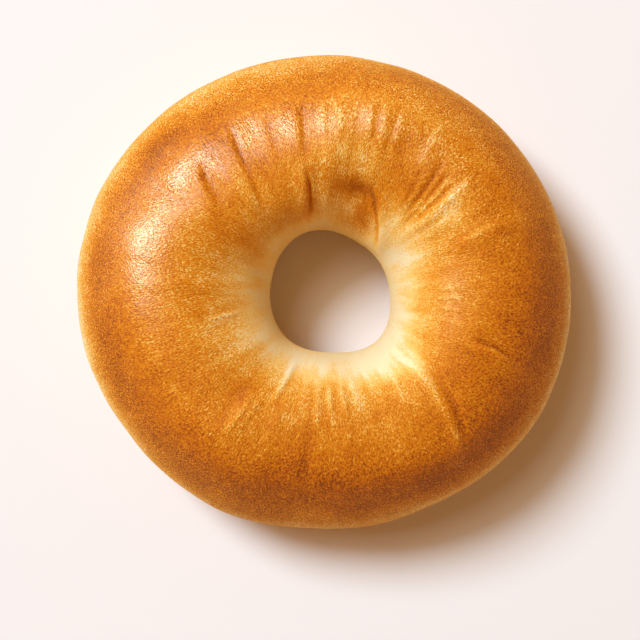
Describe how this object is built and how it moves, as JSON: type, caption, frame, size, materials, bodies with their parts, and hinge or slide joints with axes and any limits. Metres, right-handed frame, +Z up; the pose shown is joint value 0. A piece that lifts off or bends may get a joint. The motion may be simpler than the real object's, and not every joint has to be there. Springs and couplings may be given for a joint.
{
  "type": "bagel",
  "caption": "Plain ring-shaped bread roll with a domed golden crust, a narrow hole through its middle and a flat underside to rest on.",
  "frame": {"origin": "on the plane of the flat underside, under the middle of the bagel's box", "axes": "+Z up out of the crown, +X along the longer side of the slightly oval ring, +Y along the shorter side"},
  "size_m": [0.11, 0.1054, 0.038],
  "materials": {
    "crust": "satin"
  },
  "bodies": {
    "root": {"bagel": "crust"}
  },
  "joints": []
}
